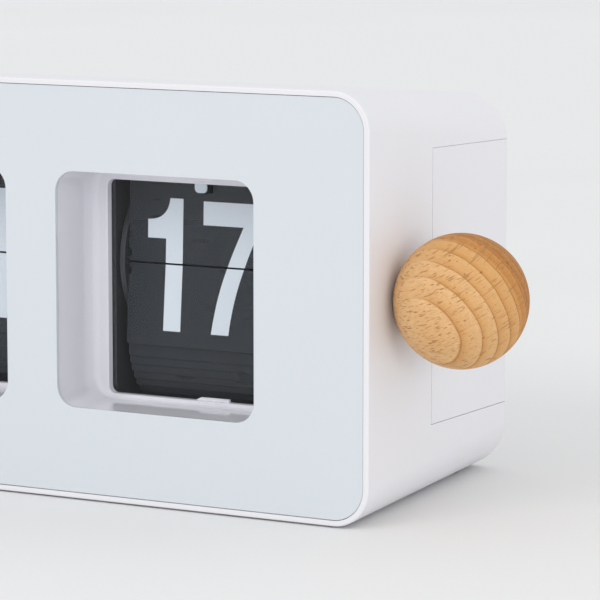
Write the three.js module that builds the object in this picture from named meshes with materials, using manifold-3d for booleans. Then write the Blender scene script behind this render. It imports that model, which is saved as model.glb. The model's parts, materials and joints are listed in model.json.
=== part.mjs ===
// Flip number clock: a white tapered case with two deep windows, a leaf display behind each
// window and a wooden ball on the right that sets the time.
// Millimetres, +Z up, the clock faces -Y. The origin is the middle of the case's flat underside.
import * as THREE from "three";
import { mergeVertices } from "three/addons/utils/BufferGeometryUtils.js";
import Module from "manifold-3d";

const wasm = await Module();
wasm.setup();

// ---------------------------------------------------------------- driving dimensions
const CASE_WIDTH = 181; // at the front
const CASE_HEIGHT = 100; // at the front
const CASE_DEPTH = 86;
const REAR_HEIGHT = 93.5; // the top slopes down to the rear, the underside is level
const SIDE_TAPER = THREE.MathUtils.degToRad(3.6); // each side leans in towards the rear
const FRONT_CORNER = 9.2;
const REAR_CORNER = 11.6;
const EDGE_ROUND = 1.2; // rounding of the rear edge
const WALL = 2.4;
const RIM = 1.35; // width of the rim around the front panel
const GAP = 0.3; // clearance between touching pieces

const PANEL_THICK = 0.8; // the glossy front panel with the two window openings
const LENS_THICK = 0.8; // the clear sheet behind it
const WINDOW_WIDTH = 53.6;
const WINDOW_LOW = 22;
const WINDOW_HIGH = 78.4;
const WINDOW_CORNER = 5;
const WINDOW_OFFSET = 33.8; // from the middle of the case to the middle of each window
const TUNNEL_DEPTH = 19; // from the front of the case to the frame at the back of a window
const TUNNEL_OVER = 0.6; // the tunnel walls stand this far outside the window's edge
const FRAME_THICK = 2;
const FRAME_SIDE = 2.9; // how far the frame stands in from the window at left and right
const FRAME_LOW = 22.6;
const FRAME_HIGH = 74.8;
const FRAME_CORNER = 1.6;
const FRAME_TAB = 8.6; // length of the low tab on the frame's lower edge

const LEAF_PLANE = 23; // depth of the leaves behind the front of the case
const LEAF_WIDTH = 40.4;
const LEAF_HEIGHT = 19.8;
const LEAF_THICK = 0.5;
const LEAF_LEAN = THREE.MathUtils.degToRad(1.7); // the upper leaf leans back on the next one
const LEAF_DROP = THREE.MathUtils.degToRad(4.5); // the lower leaf is pushed forward by the pack
const SPLIT_Z = 54.6; // height of the line where a card is split
const PIVOT_RADIUS = 19.7; // from the drum's axis to the leaf pivots
const DISC_RADIUS = 21.3;
const DISC_THICK = 1.4;
const SPOOL_RADIUS = 11;
const MINUTE_STEP = 6; // degrees round the drum from one leaf to the next: 60 minute leaves
const HOUR_STEP = 7.5; // 48 hour leaves, two for each hour of the day
const WAITING_LEAVES = 7; // hanging leaves that show below the lower leaf
const SHAFT_RADIUS = 2;
const PIN_RADIUS = 1.2; // of the small gears' shafts
const RUN = 0.08; // radial clearance of a running fit

const KNOB_RADIUS = 15.65;
const KNOB_FLAT = 0.92; // the ball's flat face, as a share of its radius
const KNOB_STANDOFF = 0.6;
const KNOB_DEPTH = 19.5; // of the knob's axis behind the front of the case
const KNOB_Z = 51.3;

const WHEEL_TEETH = 54; // the minute wheel, which the knob and the idler both drive
const SETTING_TEETH = 18; // on the knob's shaft
const PINION_TEETH = 12; // on the idler and on the motor
const IDLER_TEETH = 36;
const DRUM_PINION_TEETH = 10; // on the minute shaft, drives the carry gear
const CARRY_TEETH = 40;
const CARRY_PINION_TEETH = 8; // drives the hour wheel
const HOUR_TEETH = 48;
const CARRY_DISTANCE = 18; // from the drums' axis to the carry gear's axis

const SEAM_DEPTH = 37.1; // where the rear cover's side wings begin, behind the front
const SEAM_LOW = 18.4;
const SEAM_HIGH = 84.3;
const SEAM_FALL = THREE.MathUtils.degToRad(2.2); // the wings' edges fall towards the rear

const CELL_RADIUS = 7.1;
const CELL_LENGTH = 49.5;
const FOOT_PROUD = 0.4;

// ---------------------------------------------------------------- derived positions
const FRONT = -CASE_DEPTH / 2;
const REAR = CASE_DEPTH / 2;
const AXIS_Y = FRONT + LEAF_PLANE + PIVOT_RADIUS;
const AXIS_Z = SPLIT_Z;
const KNOB_Y = FRONT + KNOB_DEPTH;
const MINUTE_X = WINDOW_OFFSET;
const HOUR_X = -WINDOW_OFFSET;
const SETTING_MODULE =
  (2 * Math.hypot(AXIS_Y - KNOB_Y, AXIS_Z - KNOB_Z)) / (WHEEL_TEETH + SETTING_TEETH);
const CARRY_MODULE = (2 * CARRY_DISTANCE) / (DRUM_PINION_TEETH + CARRY_TEETH);
const HOUR_MODULE = (2 * CARRY_DISTANCE) / (CARRY_PINION_TEETH + HOUR_TEETH);

const polar = (centre, radius, degrees) => {
  const angle = THREE.MathUtils.degToRad(degrees);
  return { y: centre.y + radius * Math.cos(angle), z: centre.z + radius * Math.sin(angle) };
};
const DRUM = { y: AXIS_Y, z: AXIS_Z };
const KNOB = { y: KNOB_Y, z: KNOB_Z };
const IDLER = polar(DRUM, (SETTING_MODULE * (WHEEL_TEETH + PINION_TEETH)) / 2, -75);
const MOTOR = polar(IDLER, (SETTING_MODULE * (IDLER_TEETH + PINION_TEETH)) / 2, -10);
const CARRY = polar(DRUM, CARRY_DISTANCE, -90);

// Half the case's width at a distance behind its front.
const halfWidth = (depth) => CASE_WIDTH / 2 - depth * Math.tan(SIDE_TAPER);
const topHeight = (depth) => CASE_HEIGHT - ((CASE_HEIGHT - REAR_HEIGHT) * depth) / CASE_DEPTH;
const cornerRadius = (depth) =>
  FRONT_CORNER + ((REAR_CORNER - FRONT_CORNER) * depth) / CASE_DEPTH;

// ---------------------------------------------------------------- finishes
const finish = (color, roughness, metalness = 0, extra = {}) =>
  new THREE.MeshStandardMaterial({ color, roughness, metalness, ...extra });
const FINISH = {
  shell: finish(0xf2f1f3, 0.5),
  panel: finish(0xe6ecf1, 0.25),
  lens: finish(0xf4f9fc, 0.05, 0, { transparent: true, opacity: 0.25 }),
  bezel: finish(0xe9ebef, 0.45),
  leaf: finish(0x26272a, 0.6),
  drum: finish(0x2c2d30, 0.55),
  clip: finish(0xf0f0f0, 0.5),
  steel: finish(0xb9bcc0, 0.35, 0.9),
  brass: finish(0xc8a450, 0.35, 0.9),
  gear: finish(0xdedacb, 0.5),
  wood: finish(0xd9a870, 0.6),
  rubber: finish(0x2a2a2a, 0.9),
  board: finish(0x2f6b47, 0.6),
  cell: finish(0x4b5560, 0.4, 0.3),
};

// ---------------------------------------------------------------- solids
function solid(geometry) {
  geometry.deleteAttribute("normal");
  geometry.deleteAttribute("uv");
  const merged = mergeVertices(geometry, 1e-4);
  return new wasm.Manifold(
    new wasm.Mesh({
      numProp: 3,
      vertProperties: merged.attributes.position.array,
      triVerts: new Uint32Array(merged.index.array),
    }),
  );
}

function box(x0, x1, y0, y1, z0, z1) {
  const geometry = new THREE.BoxGeometry(x1 - x0, y1 - y0, z1 - z0);
  geometry.translate((x0 + x1) / 2, (y0 + y1) / 2, (z0 + z1) / 2);
  return solid(geometry);
}

// A round rod along X through the point at.
function rod(radius, x0, x1, at, sides = 16) {
  const geometry = new THREE.CylinderGeometry(radius, radius, x1 - x0, sides);
  geometry.rotateZ(-Math.PI / 2);
  geometry.translate((x0 + x1) / 2, at.y, at.z);
  return solid(geometry);
}

// An outline in (x, z), thickened along Y from y0 to y1.
function slabY(shape, y0, y1, curveSegments = 6) {
  const geometry = new THREE.ExtrudeGeometry(shape, {
    depth: y1 - y0,
    bevelEnabled: false,
    curveSegments,
  });
  geometry.applyMatrix4(
    new THREE.Matrix4().makeBasis(
      new THREE.Vector3(1, 0, 0),
      new THREE.Vector3(0, 0, 1),
      new THREE.Vector3(0, -1, 0),
    ),
  );
  geometry.translate(0, y1, 0);
  return solid(geometry);
}

// An outline in (y, z), thickened along X from x0 to x1.
function slabX(shape, x0, x1, curveSegments = 6) {
  const geometry = new THREE.ExtrudeGeometry(shape, {
    depth: x1 - x0,
    bevelEnabled: false,
    curveSegments,
  });
  geometry.applyMatrix4(
    new THREE.Matrix4().makeBasis(
      new THREE.Vector3(0, 1, 0),
      new THREE.Vector3(0, 0, 1),
      new THREE.Vector3(1, 0, 0),
    ),
  );
  geometry.translate(x0, 0, 0);
  return solid(geometry);
}

function roundedRect(u0, u1, v0, v1, radius) {
  const shape = new THREE.Shape();
  shape.moveTo(u0 + radius, v0);
  shape.lineTo(u1 - radius, v0);
  shape.absarc(u1 - radius, v0 + radius, radius, -Math.PI / 2, 0, false);
  shape.lineTo(u1, v1 - radius);
  shape.absarc(u1 - radius, v1 - radius, radius, 0, Math.PI / 2, false);
  shape.lineTo(u0 + radius, v1);
  shape.absarc(u0 + radius, v1 - radius, radius, Math.PI / 2, Math.PI, false);
  shape.lineTo(u0, v0 + radius);
  shape.absarc(u0 + radius, v0 + radius, radius, Math.PI, 1.5 * Math.PI, false);
  return shape;
}

// A body through rounded rectangles, each { y, x0, x1, z0, z1, radius }, from front to rear.
function loft(sections, steps = 6) {
  const positions = [];
  const triangles = [];
  const count = 4 * (steps + 1);
  for (const { y, x0, x1, z0, z1, radius } of sections) {
    const corners = [
      [x1 - radius, z0 + radius, -90],
      [x1 - radius, z1 - radius, 0],
      [x0 + radius, z1 - radius, 90],
      [x0 + radius, z0 + radius, 180],
    ];
    for (const [cx, cz, start] of corners)
      for (let i = 0; i <= steps; i++) {
        const angle = THREE.MathUtils.degToRad(start + (90 * i) / steps);
        positions.push(cx + radius * Math.cos(angle), y, cz + radius * Math.sin(angle));
      }
  }
  for (let s = 0; s + 1 < sections.length; s++)
    for (let i = 0; i < count; i++) {
      const a = s * count + i;
      const b = s * count + ((i + 1) % count);
      triangles.push(a, a + count, b, b, a + count, b + count);
    }
  const last = (sections.length - 1) * count;
  for (let i = 1; i + 1 < count; i++) {
    triangles.push(0, i, i + 1);
    triangles.push(last, last + i + 1, last + i);
  }
  const geometry = new THREE.BufferGeometry();
  geometry.setAttribute("position", new THREE.Float32BufferAttribute(positions, 3));
  geometry.setIndex(triangles);
  return solid(geometry);
}

// The case's outline at a distance behind its front, drawn in by inset.
function caseSection(depth, inset = 0) {
  return {
    y: FRONT + depth,
    x0: inset - halfWidth(depth),
    x1: halfWidth(depth) - inset,
    z0: inset,
    z1: topHeight(depth) - inset,
    radius: Math.max(cornerRadius(depth) - inset, 1),
  };
}

// A spur gear around at, from x0 to x1, with a bore. A tooth points along phase (degrees).
function gear(teeth, module, x0, x1, at, phase, bore) {
  const outer = (module * teeth) / 2 + 0.8 * module;
  const root = (module * teeth) / 2 - 1.05 * module;
  const pitch = (2 * Math.PI) / teeth;
  const rootHalf = 0.31 * pitch;
  const tipHalf = 0.13 * pitch;
  const start = THREE.MathUtils.degToRad(phase);
  const shape = new THREE.Shape();
  for (let i = 0; i < teeth; i++) {
    const middle = start + i * pitch;
    const flank = [
      [root, middle - rootHalf],
      [outer, middle - tipHalf],
      [outer, middle + tipHalf],
      [root, middle + rootHalf],
    ];
    for (const [radius, angle] of flank) {
      const y = at.y + radius * Math.cos(angle);
      const z = at.z + radius * Math.sin(angle);
      if (i === 0 && angle === flank[0][1]) shape.moveTo(y, z);
      else shape.lineTo(y, z);
    }
  }
  return slabX(shape, x0, x1).subtract(rod(bore, x0 - 1, x1 + 1, at));
}

// The direction from one gear's centre to another's, in degrees.
const direction = (from, to) =>
  THREE.MathUtils.radToDeg(Math.atan2(to.z - from.z, to.y - from.y));

// The phase of the gear at b that puts its gaps on the teeth of the gear at a.
function meshPhase(a, teethA, phaseA, b, teethB) {
  const line = direction(a, b);
  const offset = ((phaseA - line) * teethA) / 360 - 0.5;
  return line + 180 - (offset * 360) / teethB;
}

const clock = new THREE.Group();

function add(name, shape, material) {
  const mesh = shape.getMesh();
  const geometry = new THREE.BufferGeometry();
  geometry.setAttribute("position", new THREE.BufferAttribute(mesh.vertProperties, 3));
  geometry.setIndex(new THREE.BufferAttribute(mesh.triVerts, 1));
  const flat = geometry.toNonIndexed();
  flat.computeVertexNormals();
  const node = new THREE.Mesh(flat, material);
  node.name = name;
  clock.add(node);
}

// ---------------------------------------------------------------- case and rear cover
const POCKET_DEPTH = PANEL_THICK + LENS_THICK + 3 * GAP;
const SCREW_X = 74;
const SCREW_LOW = 25;
const SCREW_HIGH = 74;
const SCREW_RADIUS = 1.5;
const SCREW_HEAD = 2.9;
const BOSS_DEPTH = 7;
const DOOR = { x0: -31, x1: 31, z0: 21, z1: 52, radius: 3 };

function caseSkin() {
  const outer = loft([
    caseSection(0, 0.5),
    caseSection(0.15, 0.15),
    caseSection(0.5),
    caseSection(CASE_DEPTH - EDGE_ROUND),
    caseSection(CASE_DEPTH - EDGE_ROUND / 3, EDGE_ROUND / 3),
    caseSection(CASE_DEPTH, EDGE_ROUND),
  ]);
  const inner = loft([
    caseSection(POCKET_DEPTH, WALL + 0.6),
    caseSection(CASE_DEPTH - WALL, WALL + 0.6),
  ]);
  const pocket = loft([caseSection(-1, RIM), caseSection(POCKET_DEPTH + 0.01, RIM)]);
  return outer.subtract(inner).subtract(pocket);
}

// The band around the rear that the cover fills, drawn in by inset.
function coverBand(inset) {
  const reach = CASE_DEPTH - SEAM_DEPTH + 10;
  const drop = reach * Math.tan(SEAM_FALL);
  const start = FRONT + SEAM_DEPTH + inset;
  const shape = new THREE.Shape();
  shape.moveTo(start, SEAM_LOW + inset);
  shape.lineTo(start + reach, SEAM_LOW + inset - drop);
  shape.lineTo(start + reach, SEAM_HIGH - inset - drop);
  shape.lineTo(start, SEAM_HIGH - inset);
  shape.closePath();
  return slabX(shape, -CASE_WIDTH, CASE_WIDTH);
}

const screwPlaces = [-SCREW_X, SCREW_X].flatMap((x) =>
  [SCREW_LOW, SCREW_HIGH].map((z) => ({ x, z })),
);

// A round hole or pin along Y.
function pinY(radius, y0, y1, x, z, sides = 12) {
  const geometry = new THREE.CylinderGeometry(radius, radius, y1 - y0, sides);
  geometry.translate(x, (y0 + y1) / 2, z);
  return solid(geometry);
}

function mainCase() {
  let shape = caseSkin().subtract(coverBand(0));
  const boss = { y0: REAR - WALL - 0.6 - GAP - BOSS_DEPTH, y1: REAR - WALL - 0.6 - GAP };
  for (const { x, z } of screwPlaces) {
    const low = z < CASE_HEIGHT / 2;
    const z0 = low ? 1.5 : z - 4;
    const z1 = low ? z + 4 : REAR_HEIGHT - 1.5;
    shape = shape.add(box(x - 4, x + 4, boss.y0, boss.y1, z0, z1));
    shape = shape.subtract(pinY(SCREW_RADIUS + 0.3, boss.y0 - 1, boss.y1 + 1, x, z));
  }
  const bush = rod(KNOB_BUSH_RADIUS + 0.2, 80, 100, KNOB, 20);
  return shape.subtract(bush).subtract(footRecesses());
}

function rearCover() {
  let shape = caseSkin().intersect(coverBand(GAP));
  for (const { x, z } of screwPlaces) {
    shape = shape.subtract(pinY(SCREW_RADIUS + 0.3, REAR - 8, REAR + 1, x, z));
    shape = shape.subtract(pinY(SCREW_HEAD + 0.3, REAR - 1.4, REAR + 1, x, z));
  }
  const opening = slabY(
    roundedRect(DOOR.x0, DOOR.x1, DOOR.z0, DOOR.z1, DOOR.radius),
    REAR - 8,
    REAR + 1,
  );
  return shape.subtract(opening);
}

function batteryDoor() {
  const { x0, x1, z0, z1, radius } = DOOR;
  const plate = slabY(
    roundedRect(x0 + GAP, x1 - GAP, z0 + GAP, z1 - GAP, radius - GAP),
    REAR - 2.2,
    REAR - 0.05,
  );
  const grip = box(-7, 7, REAR - 0.9, REAR + 1, z1 - 6, z1 - 3.5);
  return plate.subtract(grip);
}

function coverScrew(x, z) {
  const shank = pinY(SCREW_RADIUS, REAR - 9, REAR - 0.4, x, z);
  const head = pinY(SCREW_HEAD, REAR - 1.1, REAR - 0.1, x, z);
  const slots = box(x - 1.9, x + 1.9, REAR - 0.6, REAR + 1, z - 0.35, z + 0.35).add(
    box(x - 0.35, x + 0.35, REAR - 0.6, REAR + 1, z - 1.9, z + 1.9),
  );
  return shank.add(head).subtract(slots);
}

// ---------------------------------------------------------------- feet
const FOOT_RADIUS = 5;
const FOOT_SET = 0.9; // how deep a pad is let into the underside
const footPlaces = [-72, 72].flatMap((x) => [-33, 31].map((y) => ({ x, y })));

function disc(radius, z0, z1, x, y, sides = 16) {
  const geometry = new THREE.CylinderGeometry(radius, radius, z1 - z0, sides);
  geometry.rotateX(Math.PI / 2);
  geometry.translate(x, y, (z0 + z1) / 2);
  return solid(geometry);
}

function footRecesses() {
  return footPlaces
    .map(({ x, y }) => disc(FOOT_RADIUS + GAP, -1, FOOT_SET + GAP, x, y))
    .reduce((all, one) => all.add(one));
}

// ------------------------------------------------ front panel, clear sheet and window tunnels
const PANEL_Y = FRONT + 0.15;
const LENS_Y = PANEL_Y + PANEL_THICK + GAP;
const TUNNEL_Y = LENS_Y + LENS_THICK + GAP;

function frontSheet(y, thick) {
  const inset = RIM + GAP;
  const { x0, x1, z0, z1, radius } = caseSection(y + thick - FRONT, inset);
  return slabY(roundedRect(x0, x1, z0, z1, radius), y, y + thick);
}

function windowOutline(middle, grow = 0) {
  return {
    x0: middle - WINDOW_WIDTH / 2 - grow,
    x1: middle + WINDOW_WIDTH / 2 + grow,
    z0: WINDOW_LOW - grow,
    z1: WINDOW_HIGH + grow,
    radius: WINDOW_CORNER + grow,
  };
}

function frontPanel() {
  let shape = frontSheet(PANEL_Y, PANEL_THICK);
  for (const middle of [-WINDOW_OFFSET, WINDOW_OFFSET]) {
    const { x0, x1, z0, z1, radius } = windowOutline(middle);
    shape = shape.subtract(
      slabY(roundedRect(x0, x1, z0, z1, radius), PANEL_Y - 1, PANEL_Y + PANEL_THICK + 1),
    );
  }
  return shape;
}

// A window's white tunnel, closed at the back by a frame around the leaves.
function windowTunnel(middle) {
  const skin = 1.5;
  const rear = FRONT + TUNNEL_DEPTH;
  const back = rear + FRAME_THICK;
  const prism = (grow, y0, y1) => {
    const { x0, x1, z0, z1, radius } = windowOutline(middle, grow);
    return slabY(roundedRect(x0, x1, z0, z1, radius), y0, y1);
  };
  const x0 = middle - WINDOW_WIDTH / 2 + FRAME_SIDE;
  const x1 = middle + WINDOW_WIDTH / 2 - FRAME_SIDE;
  const opening = slabY(
    roundedRect(x0, x1, FRAME_LOW, FRAME_HIGH, FRAME_CORNER),
    rear - 1,
    back + 1,
    4,
  );
  const tab = box(middle, middle + FRAME_TAB, back - 0.8, back, FRAME_LOW - 1, FRAME_LOW + 0.6);
  return prism(TUNNEL_OVER + skin, TUNNEL_Y, back)
    .subtract(prism(TUNNEL_OVER, TUNNEL_Y - 1, rear))
    .subtract(opening)
    .add(tab);
}

// ---------------------------------------------------------------- leaves
const PLANE = FRONT + LEAF_PLANE;
const NEXT_LEAF = 0.9; // how far behind the upper leaf the next one stands
const PIVOT_CLEAR = 0.2; // a leaf's edge keeps this far from the line where a card is split
const CLIP = { offset: 0.8, half: 1.65, low: SPLIT_Z + 17.8 };

// A leaf stands up from its pivot line (up = 1) or hangs down from it (up = -1).
function leafCard(middle, pivotY, up, tilt) {
  const geometry = new THREE.BoxGeometry(LEAF_WIDTH, LEAF_THICK, LEAF_HEIGHT);
  geometry.translate(0, 0, up * (LEAF_HEIGHT / 2 + PIVOT_CLEAR));
  geometry.rotateX(tilt);
  geometry.translate(middle, pivotY, SPLIT_Z);
  return solid(geometry);
}

// An upper leaf, with a notch in its top edge that lets it past the clip.
function upperLeaf(middle, pivotY) {
  const x = middle + CLIP.offset;
  const reach = CLIP.half + 2 * GAP;
  const notch = box(x - reach, x + reach, pivotY - 3, pivotY + 3, CLIP.low - 2 * GAP, CASE_HEIGHT);
  return leafCard(middle, pivotY, 1, -LEAF_LEAN).subtract(notch);
}

// The hanging leaves behind the lower one, one pivot step after another round the drum,
// held side by side by a thin web at each end.
function waitingLeaves(middle, step) {
  const half = LEAF_WIDTH / 2 - 1;
  const pivot = (k) => polar(DRUM, PIVOT_RADIUS, 180 + step * (k + 0.5));
  let pack = null;
  for (let k = 1; k <= WAITING_LEAVES; k++) {
    const { y, z } = pivot(k);
    const front = y + GAP;
    const one = box(middle - half, middle + half, front, front + LEAF_THICK, z - LEAF_HEIGHT, z);
    pack = pack ? pack.add(one) : one;
  }
  const front = pivot(1).y + GAP;
  const back = pivot(WAITING_LEAVES).y + LEAF_THICK;
  for (const x of [middle - half, middle + half - LEAF_THICK])
    pack = pack.add(box(x, x + LEAF_THICK, front, back, SPLIT_Z - 20, SPLIT_Z - 17));
  return pack;
}

// ---------------------------------------------------------------- drums
const DISC_LEFT = (middle) => middle - LEAF_WIDTH / 2 - 0.4 - DISC_THICK;
const DISC_RIGHT = (middle) => middle + LEAF_WIDTH / 2 + 0.4;

function drumDisc(x0) {
  let shape = rod(DISC_RADIUS, x0, x0 + DISC_THICK, DRUM, 32).subtract(
    rod(SHAFT_RADIUS + GAP, x0 - 1, x0 + DISC_THICK + 1, DRUM),
  );
  for (let i = 0; i < 4; i++)
    shape = shape.subtract(rod(4, x0 - 1, x0 + DISC_THICK + 1, polar(DRUM, 13, 45 + 90 * i), 8));
  return shape;
}

function drumSpool(middle) {
  const x0 = DISC_LEFT(middle) + DISC_THICK + GAP;
  const x1 = DISC_RIGHT(middle) - GAP;
  let shape = rod(SPOOL_RADIUS - 2, x0, x1, DRUM);
  for (const x of [x0, (x0 + x1) / 2 - 0.75, x1 - 1.5])
    shape = shape.add(rod(SPOOL_RADIUS, x, x + 1.5, DRUM));
  return shape.subtract(rod(SHAFT_RADIUS + GAP, x0 - 1, x1 + 1, DRUM));
}

// ---------------------------------------------------------------- movement frame
const PLATE = 1.5;
const plateX = {
  hour_outer: DISC_LEFT(HOUR_X) - 1 - PLATE,
  hour_inner: DISC_RIGHT(HOUR_X) + DISC_THICK + 1,
  minute_inner: DISC_LEFT(MINUTE_X) - 1 - PLATE,
  minute_outer: DISC_RIGHT(MINUTE_X) + DISC_THICK + 1,
};
const BASE = { y0: -14, y1: 19, z0: 4.5, z1: 8 };
const PLATE_FRONT = -21.7; // close behind the window tunnels, so no gears show past the drums

function framePlate(x, holes) {
  const outline = new THREE.Shape();
  outline.moveTo(BASE.y0, BASE.z1 + GAP);
  outline.lineTo(BASE.y1, BASE.z1 + GAP);
  outline.lineTo(BASE.y1, 46);
  outline.lineTo(6, 80);
  outline.lineTo(PLATE_FRONT, 80);
  outline.lineTo(PLATE_FRONT, 24);
  outline.closePath();
  let shape = slabX(outline, x, x + PLATE);
  for (const { at, radius } of holes)
    shape = shape.subtract(rod(radius, x - 1, x + PLATE + 1, at));
  return shape.subtract(rod(4.5, x - 1, x + PLATE + 1, { y: 8, z: 20 }, 16));
}

const STOP_BAR = { y0: -16, y1: -11, z0: 80 + GAP, z1: 83 };

// A hook that comes down from the stop bar in front of the upper leaf's top edge.
function leafClip(middle) {
  const front = PLANE - 1.8;
  const back = PLANE - 1.4;
  const x0 = middle + CLIP.offset - CLIP.half;
  const x1 = middle + CLIP.offset + CLIP.half;
  const top = STOP_BAR.z1 + 1;
  const lip = box(x0, x1, front, back, CLIP.low, top - 0.1);
  const arm = box(x0, x1, front, STOP_BAR.y1, STOP_BAR.z1 + GAP, top);
  return lip.add(arm);
}

// ---------------------------------------------------------------- gear train
const WHEEL_X = 63.6;
const WHEEL_THICK = 2.5;
const IDLER_X = WHEEL_X + WHEEL_THICK + 0.6;
const IDLER_THICK = 2;
const GEAR_PLATE_X = IDLER_X + IDLER_THICK + 1;
const CARRY_X = 3.5; // the minute side of the carry gear
const CARRY_THICK = 2;
const HOUR_WHEEL_X = -3.5;
const MOTOR_RADIUS = 9.5;
const MOTOR_LENGTH = 11;

const minuteWheelPhase = direction(DRUM, KNOB);
const settingPhase = meshPhase(DRUM, WHEEL_TEETH, minuteWheelPhase, KNOB, SETTING_TEETH);
const idlerPhase = meshPhase(DRUM, WHEEL_TEETH, minuteWheelPhase, IDLER, PINION_TEETH);
const motorPhase = meshPhase(IDLER, IDLER_TEETH, idlerPhase, MOTOR, PINION_TEETH);
const carryPinionPhase = direction(DRUM, CARRY);
const carryPhase = meshPhase(DRUM, DRUM_PINION_TEETH, carryPinionPhase, CARRY, CARRY_TEETH);
const hourWheelPhase = meshPhase(CARRY, CARRY_PINION_TEETH, carryPhase, DRUM, HOUR_TEETH);

const settingGear = (teeth, x0, thick, at, phase, bore) =>
  gear(teeth, SETTING_MODULE, x0, x0 + thick, at, phase, bore);

// The plain sleeve between the two gears of a pair that turn as one.
function sleeve(radius, x0, x1, at) {
  return rod(radius, x0, x1, at).subtract(rod(PIN_RADIUS + GAP, x0 - 1, x1 + 1, at));
}

function idlerGear() {
  const bore = PIN_RADIUS + GAP;
  const pinion = settingGear(PINION_TEETH, WHEEL_X, WHEEL_THICK, IDLER, idlerPhase, bore);
  const wheel = settingGear(IDLER_TEETH, IDLER_X, IDLER_THICK, IDLER, idlerPhase, bore);
  return pinion.add(wheel).add(sleeve(2.2, WHEEL_X, IDLER_X + IDLER_THICK, IDLER));
}

function carryGear() {
  const bore = PIN_RADIUS + GAP;
  const wheel = gear(
    CARRY_TEETH, CARRY_MODULE, CARRY_X, CARRY_X + CARRY_THICK, CARRY, carryPhase, bore,
  );
  const pinion = gear(
    CARRY_PINION_TEETH, HOUR_MODULE, HOUR_WHEEL_X, HOUR_WHEEL_X + CARRY_THICK, CARRY, carryPhase,
    bore,
  );
  return wheel.add(pinion).add(sleeve(1.9, HOUR_WHEEL_X, CARRY_X + CARRY_THICK, CARRY));
}

function gearPlate() {
  const outline = roundedRect(-8, 31, BASE.z1 + GAP, 52, 3);
  return slabX(outline, GEAR_PLATE_X, GEAR_PLATE_X + PLATE)
    .subtract(rod(PIN_RADIUS + RUN, GEAR_PLATE_X - 1, GEAR_PLATE_X + 3, IDLER, 16))
    .subtract(rod(3, GEAR_PLATE_X - 1, GEAR_PLATE_X + 3, MOTOR, 20));
}

const MOTOR_X = GEAR_PLATE_X + PLATE + GAP;
const ROTOR_RADIUS = 1;

function motor() {
  const can = rod(MOTOR_RADIUS, MOTOR_X, MOTOR_X + MOTOR_LENGTH, MOTOR, 28);
  const collar = rod(2.4, MOTOR_X - 1, MOTOR_X + 1, MOTOR);
  return can.add(collar).subtract(rod(ROTOR_RADIUS + GAP, MOTOR_X - 2, MOTOR_X + 5, MOTOR));
}

// ---------------------------------------------------------------- knob
const KNOB_BUSH_RADIUS = 5;
const KNOB_SHAFT_RADIUS = 2.5;
const sideAtKnob = halfWidth(KNOB_DEPTH);
const BALL_X = sideAtKnob + KNOB_STANDOFF + KNOB_FLAT * KNOB_RADIUS;

function knobBall() {
  const geometry = new THREE.SphereGeometry(KNOB_RADIUS, 24, 16);
  geometry.rotateZ(-Math.PI / 2);
  geometry.translate(BALL_X, KNOB.y, KNOB.z);
  const flat = BALL_X - KNOB_FLAT * KNOB_RADIUS;
  return solid(geometry)
    .subtract(box(flat - 10, flat, KNOB.y - 20, KNOB.y + 20, KNOB.z - 20, KNOB.z + 20))
    .subtract(rod(KNOB_SHAFT_RADIUS + GAP, flat - 1, BALL_X + 2, KNOB));
}

function knobBush() {
  const inside = sideAtKnob - WALL - 0.6;
  return rod(KNOB_BUSH_RADIUS, inside - 10, sideAtKnob - 0.4, KNOB, 20)
    .add(rod(KNOB_BUSH_RADIUS + 2.5, inside - 2.2, inside - GAP - 0.6, KNOB, 20))
    .subtract(rod(KNOB_SHAFT_RADIUS + RUN, 60, 100, KNOB));
}

// ---------------------------------------------------------------- battery bay
const BAY = { x0: -29, x1: 29, y0: 22.5, y1: REAR - WALL - 0.6 - GAP, z0: 21.5, z1: 51.5 };
const cellPlaces = [
  { y: BAY.y0 + 1.5 + GAP + CELL_RADIUS, z: 29 },
  { y: BAY.y0 + 1.5 + GAP + CELL_RADIUS, z: 44 },
];

function batteryTray() {
  const { x0, x1, y0, y1, z0, z1 } = BAY;
  return box(x0 - 1.5, x1 + 1.5, y0, y1, z0 - 1.5, z1 + 1.5).subtract(
    box(x0, x1, y0 + 1.5, y1 + 1, z0, z1),
  );
}

function cell(at) {
  const half = CELL_LENGTH / 2;
  const nub = rod(2.7, half, half + 1, at, 16);
  return rod(CELL_RADIUS, -half, half, at, 28).add(nub);
}

class Helix extends THREE.Curve {
  constructor(radius, turns, length) {
    super();
    Object.assign(this, { radius, turns, length });
  }
  getPoint(t, target = new THREE.Vector3()) {
    const angle = 2 * Math.PI * this.turns * t;
    const radius = this.radius * (1 - 0.3 * t);
    return target.set(this.length * t, radius * Math.cos(angle), radius * Math.sin(angle));
  }
}

function contactSpring(at) {
  const turns = 3;
  const wire = 0.35;
  const section = new THREE.Shape();
  section.absarc(0, 0, wire, 0, 2 * Math.PI, false);
  const geometry = new THREE.ExtrudeGeometry(section, {
    steps: 26,
    extrudePath: new Helix(4, turns, 2.4),
    curveSegments: 2,
  });
  geometry.translate(-CELL_LENGTH / 2 - 3.1, at.y, at.z);
  return solid(geometry);
}

// ---------------------------------------------------------------- assembly
add("main_case", mainCase(), FINISH.shell);
add("rear_cover", rearCover(), FINISH.shell);
add("battery_door", batteryDoor(), FINISH.shell);
screwPlaces.forEach(({ x, z }, i) =>
  add(`cover_screw_${i + 1}`, coverScrew(x, z), FINISH.steel),
);
footPlaces.forEach(({ x, y }, i) =>
  add(`foot_${i + 1}`, disc(FOOT_RADIUS, -FOOT_PROUD, FOOT_SET, x, y), FINISH.rubber),
);

add("front_panel", frontPanel(), FINISH.panel);
add("clear_sheet", frontSheet(LENS_Y, LENS_THICK), FINISH.lens);
add("hour_bezel", windowTunnel(-WINDOW_OFFSET), FINISH.bezel);
add("minute_bezel", windowTunnel(WINDOW_OFFSET), FINISH.bezel);

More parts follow.
